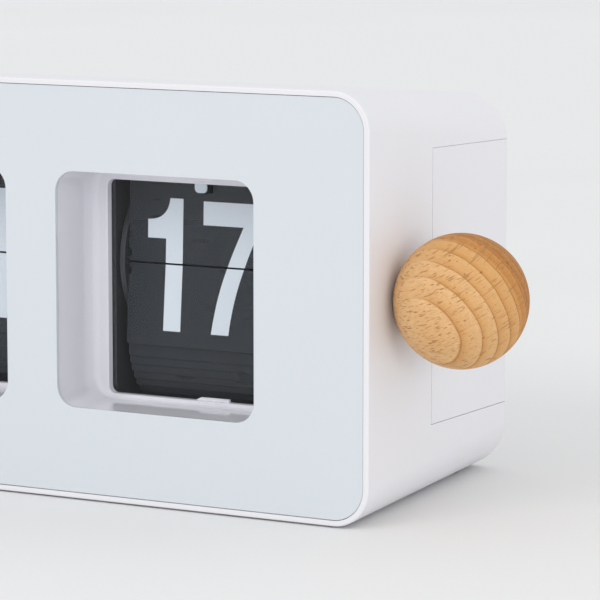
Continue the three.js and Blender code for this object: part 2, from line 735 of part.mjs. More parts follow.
add(
  "frame_base",
  box(plateX.hour_outer, GEAR_PLATE_X + PLATE, BASE.y0, BASE.y1, BASE.z0, BASE.z1),
  FINISH.steel,
);
const drumHole = { at: DRUM, radius: SHAFT_RADIUS + RUN };
const carryHole = { at: CARRY, radius: SHAFT_RADIUS + GAP };
for (const [side, holes] of [
  ["hour_outer", [drumHole]],
  ["hour_inner", [drumHole, carryHole]],
  ["minute_inner", [drumHole, carryHole]],
  ["minute_outer", [drumHole]],
])
  add(`frame_plate_${side}`, framePlate(plateX[side], holes), FINISH.drum);

const stopBarEnds = [plateX.hour_outer, plateX.minute_outer + PLATE];
add(
  "stop_bar",
  box(...stopBarEnds, STOP_BAR.y0, STOP_BAR.y1, STOP_BAR.z0, STOP_BAR.z1),
  FINISH.steel,
);

for (const [unit, middle, step] of [
  ["hour", HOUR_X, HOUR_STEP],
  ["minute", MINUTE_X, MINUTE_STEP],
]) {
  add(`${unit}_clip`, leafClip(middle), FINISH.clip);
  add(`${unit}_disc_left`, drumDisc(DISC_LEFT(middle)), FINISH.drum);
  add(`${unit}_disc_right`, drumDisc(DISC_RIGHT(middle)), FINISH.drum);
  add(`${unit}_spool`, drumSpool(middle), FINISH.drum);
  add(`${unit}_upper_leaf`, upperLeaf(middle, PLANE), FINISH.leaf);
  add(`${unit}_next_leaf`, upperLeaf(middle, PLANE + NEXT_LEAF), FINISH.leaf);
  add(`${unit}_lower_leaf`, leafCard(middle, PLANE, -1, -LEAF_DROP), FINISH.leaf);
  add(`${unit}_waiting_leaves`, waitingLeaves(middle, step), FINISH.leaf);
}

add("hour_shaft", rod(SHAFT_RADIUS, plateX.hour_outer - 2, -0.5, DRUM), FINISH.steel);
add("minute_shaft", rod(SHAFT_RADIUS, 2.5, WHEEL_X + WHEEL_THICK + 0.4, DRUM), FINISH.steel);
add(
  "minute_wheel",
  settingGear(WHEEL_TEETH, WHEEL_X, WHEEL_THICK, DRUM, minuteWheelPhase, SHAFT_RADIUS + GAP),
  FINISH.gear,
);
add(
  "minute_carry_pinion",
  gear(
    DRUM_PINION_TEETH, CARRY_MODULE, CARRY_X, CARRY_X + CARRY_THICK, DRUM, carryPinionPhase,
    SHAFT_RADIUS + GAP,
  ),
  FINISH.brass,
);
add(
  "hour_wheel",
  gear(
    HOUR_TEETH, HOUR_MODULE, HOUR_WHEEL_X, HOUR_WHEEL_X + CARRY_THICK, DRUM, hourWheelPhase,
    SHAFT_RADIUS + GAP,
  ),
  FINISH.gear,
);
add("carry_gear", carryGear(), FINISH.gear);
add(
  "carry_shaft",
  rod(PIN_RADIUS, plateX.hour_inner - 0.5, plateX.minute_inner + PLATE + 0.5, CARRY, 16),
  FINISH.steel,
);
add("idler_gear", idlerGear(), FINISH.gear);
add(
  "idler_shaft",
  rod(PIN_RADIUS, plateX.minute_outer + PLATE + GAP, GEAR_PLATE_X + PLATE, IDLER, 16),
  FINISH.steel,
);
add("gear_plate", gearPlate(), FINISH.steel);
add("motor", motor(), FINISH.steel);
add("motor_shaft", rod(ROTOR_RADIUS, IDLER_X - 0.4, MOTOR_X + 4, MOTOR), FINISH.steel);
add(
  "motor_pinion",
  settingGear(PINION_TEETH, IDLER_X, IDLER_THICK, MOTOR, motorPhase, ROTOR_RADIUS + GAP),
  FINISH.brass,
);

add("knob_ball", knobBall(), FINISH.wood);
add("knob_shaft", rod(KNOB_SHAFT_RADIUS, WHEEL_X - 0.6, BALL_X + 1.5, KNOB), FINISH.steel);
add(
  "knob_pinion",
  settingGear(
    SETTING_TEETH, WHEEL_X, WHEEL_THICK, KNOB, settingPhase, KNOB_SHAFT_RADIUS + GAP,
  ),
  FINISH.brass,
);
add("knob_bush", knobBush(), FINISH.brass);

add("battery_tray", batteryTray(), FINISH.drum);
cellPlaces.forEach((at, i) => {
  add(`battery_cell_${i + 1}`, cell(at), FINISH.cell);
  add(`battery_spring_${i + 1}`, contactSpring(at), FINISH.steel);
});
add("circuit_board", box(-80, -78.4, -15, 25, 18, 58), FINISH.board);

clock.updateMatrixWorld(true);
export default clock;
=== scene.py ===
# Looks of the flip number clock: fine shells, split leaf cards with digits, a beech ball knob and
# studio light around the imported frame. Blender 4.5, metres, +Z up, the clock faces -Y.
import json
import math

import bmesh
import bpy
from mathutils import Matrix, Vector


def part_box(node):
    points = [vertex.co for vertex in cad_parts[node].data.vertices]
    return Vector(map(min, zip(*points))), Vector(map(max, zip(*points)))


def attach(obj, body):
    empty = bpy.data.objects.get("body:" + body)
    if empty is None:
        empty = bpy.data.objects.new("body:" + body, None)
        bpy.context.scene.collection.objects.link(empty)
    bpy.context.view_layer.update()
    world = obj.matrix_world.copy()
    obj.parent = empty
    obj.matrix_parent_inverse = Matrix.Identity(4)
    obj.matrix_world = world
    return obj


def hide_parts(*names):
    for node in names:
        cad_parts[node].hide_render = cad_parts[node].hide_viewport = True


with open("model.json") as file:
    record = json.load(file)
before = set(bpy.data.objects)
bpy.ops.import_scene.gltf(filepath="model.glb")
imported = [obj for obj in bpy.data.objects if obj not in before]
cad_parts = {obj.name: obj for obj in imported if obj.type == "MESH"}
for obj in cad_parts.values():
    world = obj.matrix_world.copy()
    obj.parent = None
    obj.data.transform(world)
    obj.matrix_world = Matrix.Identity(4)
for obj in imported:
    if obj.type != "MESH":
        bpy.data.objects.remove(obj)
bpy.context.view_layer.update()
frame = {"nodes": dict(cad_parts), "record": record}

MM = 0.001

# ---------------------------------------------------------------- driving dimensions
CASE_LOW, CASE_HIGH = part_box("main_case")
FRONT = CASE_LOW.y
DEPTH = CASE_HIGH.y - CASE_LOW.y
HALF_WIDTH = 90.5 * MM  # at the front
HEIGHT = 100 * MM  # at the front
HEIGHT_FALL = 6.5 * MM  # the top slopes down to the rear
SIDE_TAPER = math.radians(3.6)
FRONT_CORNER = 9.2 * MM
REAR_CORNER = 11.6 * MM
RIM = 1.35 * MM
RIM_ROUND = 0.45 * MM
REAR_ROUND = 1.2 * MM
WALL = 3 * MM
POCKET = 2.5 * MM  # depth of the front pocket that holds the front panel and the clear sheet
LID_SEAM = 0.14 * MM  # visible gap round the battery lid
PANEL_SEAM = 0.11 * MM  # round the front panel
COVER_SEAM = 0.07 * MM  # above and below the rear cover
COVER_FRONT_SEAM = 0.28 * MM  # along the front edges of the rear cover
SEAM_DEPTH = 37.1 * MM
SEAM_LOW = 18.4 * MM
SEAM_HIGH = 84.3 * MM
SEAM_FALL = math.radians(2.2)

WINDOW_HALF = 26.8 * MM
WINDOW_LOW = 22 * MM
WINDOW_HIGH = 78.4 * MM
WINDOW_CORNER = 5 * MM
TUNNEL_OVER = 0.6 * MM
TUNNEL_REAR = 19 * MM
TUNNEL_FILLET = 1.5 * MM
TUNNEL_SKIN = 1.5 * MM
FRAME_THICK = 2 * MM
FRAME_SIDE = 2.9 * MM
FRAME_LOW = 22.6 * MM
FRAME_HIGH = 74.8 * MM
FRAME_CORNER = 1.8 * MM

LEAF_THICK = 0.5 * MM
LEAF_CORNER = 0.8 * MM
LEAF_LEAN = math.radians(1.7)
LEAF_DROP = math.radians(4.5)
LEAF_HEIGHT = 19.8 * MM
LEAF_CLEAR = 0.2 * MM  # from the split line to the leaf's edge
LEAF_PLANE = FRONT + 23 * MM
SPLIT_Z = 54.6 * MM
PIVOT_RADIUS = 19.7 * MM
DRUM_Y = LEAF_PLANE + PIVOT_RADIUS
LEAF_HALF = 20.2 * MM  # half its width
UNITS = {"hour": -33.8 * MM, "minute": 33.8 * MM}  # the middle of each display

CORNER_STEPS = 20
SMALL_CORNER_STEPS = 8
EDGE_STEPS = 5  # in the quarter turn of a rounded edge

# ---------------------------------------------------------------- materials
class Shader:
    """A node material around one Principled BSDF, with short ways to add nodes."""

    def __init__(self, name):
        self.material = bpy.data.materials.new(name)
        self.material.use_nodes = True
        self.tree = self.material.node_tree
        self.principled = self.tree.nodes["Principled BSDF"]
        self.place = self.node("ShaderNodeTexCoord").outputs["Object"]

    def node(self, kind, **settings):
        node = self.tree.nodes.new(kind)
        for key, value in settings.items():
            setattr(node, key, value)
        return node

    def put(self, socket, value):
        if isinstance(value, bpy.types.NodeSocket):
            self.tree.links.new(value, socket)
        else:
            socket.default_value = value

    def set(self, **sockets):
        names = {
            "color": "Base Color", "roughness": "Roughness", "metallic": "Metallic",
            "specular": "Specular IOR Level", "alpha": "Alpha", "normal": "Normal", "ior": "IOR",
        }
        for key, value in sockets.items():
            self.put(self.principled.inputs[names[key]], value)
        return self

    def math(self, operation, a, b=0.0):
        node = self.node("ShaderNodeMath", operation=operation)
        self.put(node.inputs[0], a)
        self.put(node.inputs[1], b)
        return node.outputs[0]

    def vector(self, operation, a, b, output="Vector"):
        node = self.node("ShaderNodeVectorMath", operation=operation)
        self.put(node.inputs[0], a)
        self.put(node.inputs[1], b)
        return node.outputs[output]

    def scaled(self, place, x, y, z):
        return self.vector("MULTIPLY", place, (x, y, z))

    def noise(self, place, scale, detail):
        node = self.node("ShaderNodeTexNoise")
        self.put(node.inputs["Vector"], place)
        node.inputs["Scale"].default_value = scale
        node.inputs["Detail"].default_value = detail
        return node.outputs["Fac"]

    def ramp(self, value, stops):
        node = self.node("ShaderNodeValToRGB")
        self.put(node.inputs["Fac"], value)
        elements = node.color_ramp.elements
        while len(elements) < len(stops):
            elements.new(0.5)
        for element, (at, color) in zip(elements, stops):
            element.position = at
            element.color = (*color, 1)
        return node.outputs["Color"]

    def span(self, value, low, high, to_low, to_high):
        node = self.node("ShaderNodeMapRange")
        self.put(node.inputs["Value"], value)
        for key, number in (
            ("From Min", low), ("From Max", high), ("To Min", to_low), ("To Max", to_high),
        ):
            node.inputs[key].default_value = number
        return node.outputs["Result"]

    def mix(self, factor, a, b, blend="MIX"):
        node = self.node("ShaderNodeMix", data_type="RGBA", blend_type=blend)
        for socket, value in zip((node.inputs[0], node.inputs[6], node.inputs[7]), (factor, a, b)):
            self.put(socket, (*value, 1) if isinstance(value, tuple) and len(value) == 3 else value)
        return node.outputs[2]

    def bump(self, height, strength, distance):
        node = self.node("ShaderNodeBump")
        node.inputs["Strength"].default_value = strength
        node.inputs["Distance"].default_value = distance
        self.put(node.inputs["Height"], height)
        return self.set(normal=node.outputs["Normal"])


COMMON = (0.3, 0.7)  # the range that most values of a noise lie in


def tinted(color, amount):
    return tuple(channel * amount for channel in color)


def moulded(name, color, roughness, bump, grain=4200, spread=0.03):
    """Moulded plastic: a fine spark-eroded grain, faint flow clouds and uneven gloss."""
    shader = Shader(name)
    fine = shader.noise(shader.place, grain, 2)
    clouds = shader.noise(shader.place, 28, 4)
    gloss = shader.span(clouds, *COMMON, roughness - 0.03, roughness + 0.04)
    shader.set(
        color=shader.mix(shader.span(clouds, *COMMON, 0, 1), tinted(color, 1 - spread), color),
        roughness=gloss,
    )
    return shader.bump(fine, bump, 0.05 * MM).material


STREAKS = (40, 2200, 2200)  # per metre along X, Y and Z


def metal(name, color, roughness):
    """Rolled or turned metal with fine streaks along X."""
    shader = Shader(name)
    lines = shader.noise(shader.scaled(shader.place, *STREAKS), 1, 3)
    stains = shader.noise(shader.place, 90, 3)
    shader.set(
        color=shader.mix(shader.span(stains, 0.35, 0.7, 0, 1), color, tinted(color, 0.86)),
        roughness=shader.span(lines, *COMMON, roughness - 0.08, roughness + 0.1),
        metallic=1.0,
    )
    return shader.bump(lines, 0.12, 0.03 * MM).material


def film(name, color, roughness):
    """Thin calendered film for the leaves: smooth, with faint long waves."""
    shader = Shader(name)
    waves = shader.noise(shader.scaled(shader.place, 30, 30, 160), 1, 2)
    fibres = shader.noise(shader.place, 3800, 2)
    shader.set(
        color=shader.mix(shader.span(fibres, *COMMON, 0, 1), tinted(color, 0.92), color),
        roughness=shader.span(waves, *COMMON, roughness - 0.04, roughness + 0.05),
        specular=0.35,
    )
    return shader.bump(waves, 0.1, 0.05 * MM).material


def clear_sheet(name):
    """Clear acrylic, seen as a faint gloss over what is behind it, with a painted reflection: a grey
    veil at low opacity.
    """
    shader = Shader(name)
    haze = shader.noise(shader.place, 60, 2)
    shader.set(
        # painted reflection: the grey colour at low opacity stands for the room mirrored in the sheet
        color=(0.36, 0.37, 0.38, 1),
        roughness=shader.span(haze, *COMMON, 0.03, 0.06),
        alpha=0.02,
        ior=1.49,
    )
    shader.material.surface_render_method = "BLENDED"
    return shader.material


RING = 3.47 * MM  # a year's growth
FIRST_RING = 13.0 * MM  # from the ball's middle to the first ring
RING_NORMAL = Vector((-0.2115, -0.876, -0.432)).normalized()
FIBRE = Vector((1.30, -0.31, 0.338))  # roughly the way the fibres run
WOBBLE = 0.6 * MM  # of a ring from its plane
DARKENING_REACH = 20 * MM  # the colour darkens in steps over this depth, towards the upper rear


def beech(name, centre):
    """Beech turned across its growth rings: latewood lines, ray flecks and short pores."""
    shader = Shader(name)
    fibre = (FIBRE - RING_NORMAL * FIBRE.dot(RING_NORMAL)).normalized()
    across = RING_NORMAL.cross(fibre)
    local = shader.vector("SUBTRACT", shader.place, tuple(centre))
    wobble = shader.noise(local, 90, 2)
    radial, along, tangent = (
        shader.vector("DOT_PRODUCT", local, tuple(axis), "Value")
        for axis in (RING_NORMAL, fibre, across)
    )
    grain_place = shader.node("ShaderNodeCombineXYZ")
    for socket, value in zip(grain_place.inputs, (radial, along, tangent)):
        shader.put(socket, value)
    grain = grain_place.outputs[0]
    depth = shader.math("SUBTRACT", FIRST_RING, radial)
    ring = shader.math("ADD", depth, shader.span(wobble, 0, 1, -WOBBLE, WOBBLE))
    phase = shader.math("FRACT", shader.math("DIVIDE", ring, RING))
    late, autumn = (0.36, 0.15, 0.035), (0.62, 0.31, 0.11)
    middle, light = (0.72, 0.415, 0.18), (0.78, 0.49, 0.245)
    rings = shader.ramp(
        phase, [(0.0, late), (0.05, autumn), (0.3, middle), (0.9, light), (0.95, middle), (1.0, late)],
    )
    sideways = shader.node("ShaderNodeSeparateXYZ")
    shader.put(sideways.inputs[0], local)
    # The rings fade on the side towards the case into the light wood colour: a painted highlight where
    # the light from the left falls.
    clear = shader.span(sideways.outputs["X"], -5 * MM, 2 * MM, 0.25, 1)
    rings = shader.mix(clear, light, rings)
    depth_share = shader.span(depth, 0, DARKENING_REACH, 0, 1)
    # Darker in steps towards the upper rear of the ball, along the ring normal.
    depth_darkening = shader.ramp(
        depth_share,
        [
            (0.0, (1.0, 1.0, 1.0)), (0.36, (0.96, 0.95, 0.92)), (0.39, (0.93, 0.88, 0.80)),
            (0.55, (0.92, 0.85, 0.72)), (0.72, (0.88, 0.78, 0.60)), (0.75, (0.66, 0.45, 0.22)),
            (0.89, (0.72, 0.51, 0.27)), (0.92, (0.46, 0.26, 0.08)), (1.0, (0.58, 0.38, 0.16)),
        ],
    )
    rings = shader.mix(1.0, rings, depth_darkening, "MULTIPLY")
    streaks = shader.noise(shader.scaled(grain, 900, 130, 1500), 1, 3)
    speckle = shader.noise(shader.scaled(grain, 2600, 700, 2600), 1, 2)
    dashes = shader.noise(shader.scaled(grain, 900, 330, 2300), 1, 1)
    rays = shader.noise(shader.scaled(grain, 150, 480, 3000), 1, 1)
    dash = shader.span(dashes, 0.69, 0.73, 0, 0.8)
    ray = shader.span(rays, 0.60, 0.69, 0, 0.75)
    color = shader.mix(shader.span(streaks, 0.35, 0.65, 0, 0.3), rings, tinted(middle, 0.86))
    color = shader.mix(shader.span(speckle, 0.45, 0.65, 0, 0.4), color, (0.56, 0.30, 0.11))
    color = shader.mix(dash, color, (0.30, 0.125, 0.04))
    color = shader.mix(ray, color, (0.40, 0.19, 0.07))
    shader.set(
        color=color,
        roughness=shader.span(streaks, *COMMON, 0.55, 0.7),
        specular=0.16,
    )
    relief = shader.math("SUBTRACT", streaks, shader.math("MULTIPLY", dash, 0.8))
    return shader.bump(relief, 0.25, 0.08 * MM).material


def board_finish(name):
    """Solder mask with tracks under it."""
    shader = Shader(name)
    tracks = shader.node("ShaderNodeTexWave", wave_type="BANDS", bands_direction="Z")
    shader.put(tracks.inputs["Vector"], shader.place)
    tracks.inputs["Scale"].default_value = 90
    tracks.inputs["Distortion"].default_value = 3
    lines = shader.span(tracks.outputs["Fac"], 0.72, 0.8, 0, 1)
    shader.set(color=shader.mix(lines, (0.03, 0.13, 0.06), (0.07, 0.24, 0.11)), roughness=0.4)
    return shader.bump(lines, 0.2, 0.04 * MM).material


BALL_LOW, BALL_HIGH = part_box("knob_ball")
BALL_RADIUS = (BALL_HIGH.y - BALL_LOW.y) / 2
BALL = (BALL_LOW + BALL_HIGH) / 2
BALL.x = BALL_HIGH.x - BALL_RADIUS

LOOKS = {
    "shell": moulded("shell_white", (0.80, 0.795, 0.825), 0.42, bump=0.05, spread=0.015),
    "panel": moulded("panel_print", (0.665, 0.705, 0.738), 0.16, grain=900, bump=0.01, spread=0.01),
    # The bezel white is the tunnel's own white plus painted light: brighter and bluer than the shell to
    # lighten the shaded recess, with a painted bluish reflection.
    "bezel": moulded("bezel_white_painted_light", (0.90, 0.895, 0.945), 0.08, grain=1500, bump=0.01, spread=0.02),
    "lens": clear_sheet("clear_acrylic"),
    "leaf": film("leaf_black", (0.0165, 0.0215, 0.0285), 0.3),
    "drum": moulded("drum_black", (0.034, 0.036, 0.040), 0.4, bump=0.05, spread=0.1),
    "white_trim": moulded("print_white", (0.76, 0.83, 0.895), 0.38, grain=2600, bump=0.02, spread=0.02),
    "steel": metal("rolled_steel", (0.55, 0.56, 0.58), 0.34),
    "brass": metal("turned_brass", (0.72, 0.52, 0.22), 0.3),
    "gear": moulded("acetal", (0.78, 0.75, 0.66), 0.4, bump=0.04),
    "wood": beech("beech", BALL),
    "rubber": moulded("rubber", (0.02, 0.02, 0.021), 0.8, grain=2500, bump=0.2, spread=0.2),
    "board": board_finish("board_green"),
    "cell": moulded("cell_sleeve", (0.05, 0.07, 0.09), 0.25, grain=800, bump=0.02, spread=0.1),
}

# ---------------------------------------------------------------- mesh helpers
def make(name, bm):
    bmesh.ops.recalc_face_normals(bm, faces=bm.faces)
    mesh = bpy.data.meshes.new(name)
    bm.to_mesh(mesh)
    bm.free()
    piece = bpy.data.objects.new(name, mesh)
    bpy.context.scene.collection.objects.link(piece)
    return piece


def apply_modifiers(piece):
    bpy.context.view_layer.update()
    evaluated = piece.evaluated_get(bpy.context.evaluated_depsgraph_get())
    mesh = bpy.data.meshes.new_from_object(evaluated)
    piece.modifiers.clear()
    piece.data = mesh
    return piece


def combine(piece, tool, operation):
    modifier = piece.modifiers.new("combine", "BOOLEAN")
    modifier.operation = operation
    modifier.solver = "EXACT"
    modifier.object = tool
    apply_modifiers(piece)
    bpy.data.objects.remove(tool)
    return piece


def soften(piece, width=0.15 * MM, segments=2, angle=40):
    """Rounds every hard edge a little."""
    modifier = piece.modifiers.new("soften", "BEVEL")
    modifier.width = width
    modifier.segments = segments
    modifier.limit_method = "ANGLE"
    modifier.angle_limit = math.radians(angle)
    return apply_modifiers(piece)


def place(piece, body, slot, *nodes, angle=32):
    """Gives a finished piece its finish and its body, and hides the CAD nodes it stands for."""
    piece.data.shade_smooth()
    piece.data.set_sharp_from_angle(angle=math.radians(angle))
    even = piece.modifiers.new("even_shading", "WEIGHTED_NORMAL")
    even.keep_sharp = True
    apply_modifiers(piece)
    piece.data.materials.clear()
    piece.data.materials.append(LOOKS[slot])
    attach(piece, body)
    if nodes:
        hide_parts(*nodes)
    return piece


def rounded_ring(x0, x1, z0, z1, radius, steps=CORNER_STEPS):
    """Points round a rounded rectangle, as (x, z)."""
    corners = [
        (x1 - radius, z0 + radius, -90),
        (x1 - radius, z1 - radius, 0),
        (x0 + radius, z1 - radius, 90),
        (x0 + radius, z0 + radius, 180),
    ]
    points = []
    for cx, cz, start in corners:
        for i in range(steps + 1):
            angle = math.radians(start + 90 * i / steps)
            points.append((cx + radius * math.cos(angle), cz + radius * math.sin(angle)))
    return points


def sweep(name, rings, closed=False):
    """A body through rings of (y, points): capped at both ends, or joined end to end."""
    bm = bmesh.new()
    loops = [[bm.verts.new((x, y, z)) for x, z in points] for y, points in rings]
    pairs = list(zip(loops, loops[1:]))
    if closed:
        pairs.append((loops[-1], loops[0]))
    for first, second in pairs:
        count = len(first)
        for i in range(count):
            j = (i + 1) % count
            bm.faces.new((first[i], second[i], second[j], first[j]))
    if not closed:
        bm.faces.new(loops[0])
        bm.faces.new(reversed(loops[-1]))
    return make(name, bm)


def prism(name, outline, low, high, axis="y"):
    """An outline thickened along an axis: (y, z) points along X, (x, z) along Y, (x, y) along Z."""
    bm = bmesh.new()
    spot = {
        "x": lambda a, b, t: (t, a, b),
        "y": lambda a, b, t: (a, t, b),
        "z": lambda a, b, t: (a, b, t),
    }[axis]
    first = [bm.verts.new(spot(a, b, low)) for a, b in outline]
    second = [bm.verts.new(spot(a, b, high)) for a, b in outline]
    count = len(outline)
    for i in range(count):
        j = (i + 1) % count
        bm.faces.new((first[i], second[i], second[j], first[j]))
    bm.faces.new(first)
    bm.faces.new(reversed(second))
    return make(name, bm)


def rod(name, radius, low, high, centre, axis="x", sides=64):
    """A round rod along an axis through centre, which gives its other two coordinates."""
    circle = [2 * math.pi * i / sides for i in range(sides)]
    a, b = centre
    outline = [(a + radius * math.cos(t), b + radius * math.sin(t)) for t in circle]
    return prism(name, outline, low, high, axis)


def block(name, x0, x1, y0, y1, z0, z1):
    return prism(name, [(x0, z0), (x1, z0), (x1, z1), (x0, z1)], y0, y1)


# ---------------------------------------------------------------- case
def half_width(depth):
    return HALF_WIDTH - depth * math.tan(SIDE_TAPER)


def case_ring(depth, inset):
    """The case's outline at a depth, drawn in by the inset."""
    share = depth / DEPTH
    top = HEIGHT - HEIGHT_FALL * share
    radius = FRONT_CORNER + (REAR_CORNER - FRONT_CORNER) * share
    half = half_width(depth) - inset
    points = rounded_ring(-half, half, inset, top - inset, max(radius - inset, MM))
    return FRONT + depth, points


def quarter(radius):
    """(depth, inset) pairs of a rounded edge, from the face to the wall."""
    turns = [math.pi / 2 * i / EDGE_STEPS for i in range(EDGE_STEPS + 1)]
    return [(radius * (1 - math.cos(t)), radius * (1 - math.sin(t))) for t in turns]


def case_shell():
    front = [case_ring(depth, inset) for depth, inset in quarter(RIM_ROUND)]
    rear = [case_ring(DEPTH - depth, inset) for depth, inset in reversed(quarter(REAR_ROUND))]
    shell = sweep("case_shell", front + rear)
    cavity = sweep("cavity", [case_ring(POCKET, WALL), case_ring(DEPTH - WALL, WALL)])
    pocket = sweep("pocket", [case_ring(-MM, RIM), case_ring(POCKET + 0.01 * MM, RIM)])
    return combine(combine(shell, cavity, "DIFFERENCE"), pocket, "DIFFERENCE")


def cover_band(front_gap=0.0, gap=0.0):
    """The band round the rear that the cover fills."""
    reach = DEPTH - SEAM_DEPTH + 10 * MM
    drop = reach * math.tan(SEAM_FALL)
    start = FRONT + SEAM_DEPTH + front_gap
    low, high = SEAM_LOW + gap, SEAM_HIGH - gap
    outline = [
        (start, low), (start + reach, low - drop), (start + reach, high - drop), (start, high),
    ]
    return prism("band", outline, -2 * HALF_WIDTH, 2 * HALF_WIDTH, "x")


REAR = CASE_HIGH.y
SCREWS = [f"cover_screw_{i}" for i in range(1, 5)]
BUSH_HOLE = 5.1 * MM  # radius of the hole for the knob's bush
SIDE_WALL = (80 * MM, 100 * MM)  # a span across the right side wall
FOOT_GAP = 0.2 * MM  # between a foot and its recess


def screw_spot(node):
    low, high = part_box(node)
    return (low.x + high.x) / 2, (low.z + high.z) / 2


def build_case():
    case = combine(case_shell(), cover_band(), "DIFFERENCE")
    bush = rod("bush_hole", BUSH_HOLE, *SIDE_WALL, (BALL.y, BALL.z))
    combine(case, bush, "DIFFERENCE")
    for i in range(1, 5):
        low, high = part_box(f"foot_{i}")
        middle = (low + high) / 2
        radius = (high.x - low.x) / 2 + FOOT_GAP
        recess = rod("recess", radius, -MM, high.z + FOOT_GAP, (middle.x, middle.y), "z")
        combine(case, recess, "DIFFERENCE")
    soften(case)
    place(case, "clock", "shell", "main_case")


WELL = 3.3 * MM  # radius of the wells over the cover screws
WELL_DEPTH = 1.5 * MM
DOORWAY_CORNER = 3 * MM
DOORWAY_DEPTH = 8 * MM


def build_cover():
    cover = combine(case_shell(), cover_band(COVER_FRONT_SEAM, COVER_SEAM), "INTERSECT")
    cover.name = "rear_shell"
    for node in SCREWS:
        well = rod("well", WELL, REAR - WELL_DEPTH, REAR + MM, screw_spot(node), "y", 48)
        combine(cover, well, "DIFFERENCE")
    low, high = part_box("battery_door")
    outline = rounded_ring(
        low.x - LID_SEAM,
        high.x + LID_SEAM,
        low.z - LID_SEAM,
        high.z + LID_SEAM,
        DOORWAY_CORNER,
        SMALL_CORNER_STEPS,
    )
    combine(cover, prism("doorway", outline, REAR - DOORWAY_DEPTH, REAR + MM), "DIFFERENCE")
    soften(cover)
    place(cover, "clock", "shell", "rear_cover")


LID_CORNER = 2.8 * MM
SCOOP_HALF = 9 * MM  # half the width of the finger scoop
SCOOP_TALL = 6 * MM
SCOOP_DEPTH = 1.1 * MM
SCOOP_CORNER = 2.4 * MM
SCOOP_BELOW = 3 * MM  # from the lid's top edge to the scoop
RIB_HALF = 0.5 * MM
RIB_PITCH = 3 * MM


def build_door():
    low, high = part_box("battery_door")
    outline = rounded_ring(low.x, high.x, low.z, high.z, LID_CORNER, SMALL_CORNER_STEPS)
    door = prism("battery_lid", outline, low.y, high.y)
    middle = (low.x + high.x) / 2
    top = high.z - SCOOP_BELOW
    scoop = rounded_ring(
        middle - SCOOP_HALF,
        middle + SCOOP_HALF,
        top - SCOOP_TALL,
        top,
        SCOOP_CORNER,
        SMALL_CORNER_STEPS,
    )
    combine(door, prism("scoop", scoop, high.y - SCOOP_DEPTH, high.y + MM), "DIFFERENCE")
    for place_in_row in range(-2, 3):
        x = middle + place_in_row * RIB_PITCH
        rib = rounded_ring(x - RIB_HALF, x + RIB_HALF, top - 5 * MM, top - MM, 0.45 * MM, 4)
        combine(door, prism("rib", rib, high.y - 1.3 * MM, high.y - 0.3 * MM), "UNION")
    soften(door, 0.2 * MM)
    place(door, "battery_lid", "shell", "battery_door")


SHANK = 1.5 * MM  # radius
CROSS_LONG = 1.9 * MM  # half the length of a slot in the screw's cross
CROSS_THIN = 0.35 * MM
CROSS_DEPTH = 0.6 * MM


def build_screw(node):
    x, z = screw_spot(node)
    low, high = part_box(node)
    head = rod(f"{node}_head", (high.x - low.x) / 2, high.y - MM, high.y, (x, z), "y", 48)
    combine(head, rod("shank", SHANK, low.y, high.y - 0.9 * MM, (x, z), "y", 32), "UNION")
    for wide, tall in ((CROSS_LONG, CROSS_THIN), (CROSS_THIN, CROSS_LONG)):
        slot = block("slot", x - wide, x + wide, high.y - CROSS_DEPTH, high.y + MM, z - tall, z + tall)
        combine(head, slot, "DIFFERENCE")
    soften(head, 0.12 * MM)
    place(head, "clock", "steel", node)


# ---------------------------------------------------------------- front panel, sheet, tunnels
def window_ring(middle, grow=0.0):
    return rounded_ring(
        middle - WINDOW_HALF - grow,
        middle + WINDOW_HALF + grow,
        WINDOW_LOW - grow,
        WINDOW_HIGH + grow,
        WINDOW_CORNER + grow,
    )


SHEET_LOW, SHEET_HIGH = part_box("clear_sheet")
TOUCH = 0.02 * MM  # gap between stacked pieces of the front
SHEET_EDGE = 0.12 * MM  # chamfer round the front face of a sheet
CUT_REACH = 5 * MM  # of the cutters that open the windows


def front_sheet(name, low, high):
    """A sheet that fills the front pocket between two depths."""
    inset = RIM + PANEL_SEAM
    front, back = low - FRONT, high - FRONT
    rings = [
        case_ring(front, inset + SHEET_EDGE),
        case_ring(front + SHEET_EDGE, inset),
        case_ring(back, inset),
    ]
    return sweep(name, rings)


def build_front():
    pane = front_sheet("window_pane", SHEET_LOW.y, SHEET_HIGH.y)
    place(pane, "clock", "lens", "clear_sheet")
    panel = front_sheet("gloss_panel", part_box("front_panel")[0].y, SHEET_LOW.y - TOUCH)
    for middle in UNITS.values():
        opening = prism("hole", window_ring(middle), FRONT, FRONT + CUT_REACH)
        combine(panel, opening, "DIFFERENCE")
    place(soften(panel, 0.08 * MM), "clock", "panel", "front_panel")


FRAME_EDGE = 0.15 * MM
FLOOR_DRAW = 0.9 * MM  # the fillet draws the tunnel's floor in no further than half this
TAB_THICK = 0.8 * MM
TAB_TALL = 0.9 * MM
TAB_LEFT, TAB_SLOPE_END, TAB_RIGHT = -0.6 * MM, 1.2 * MM, 9 * MM  # from the window's middle


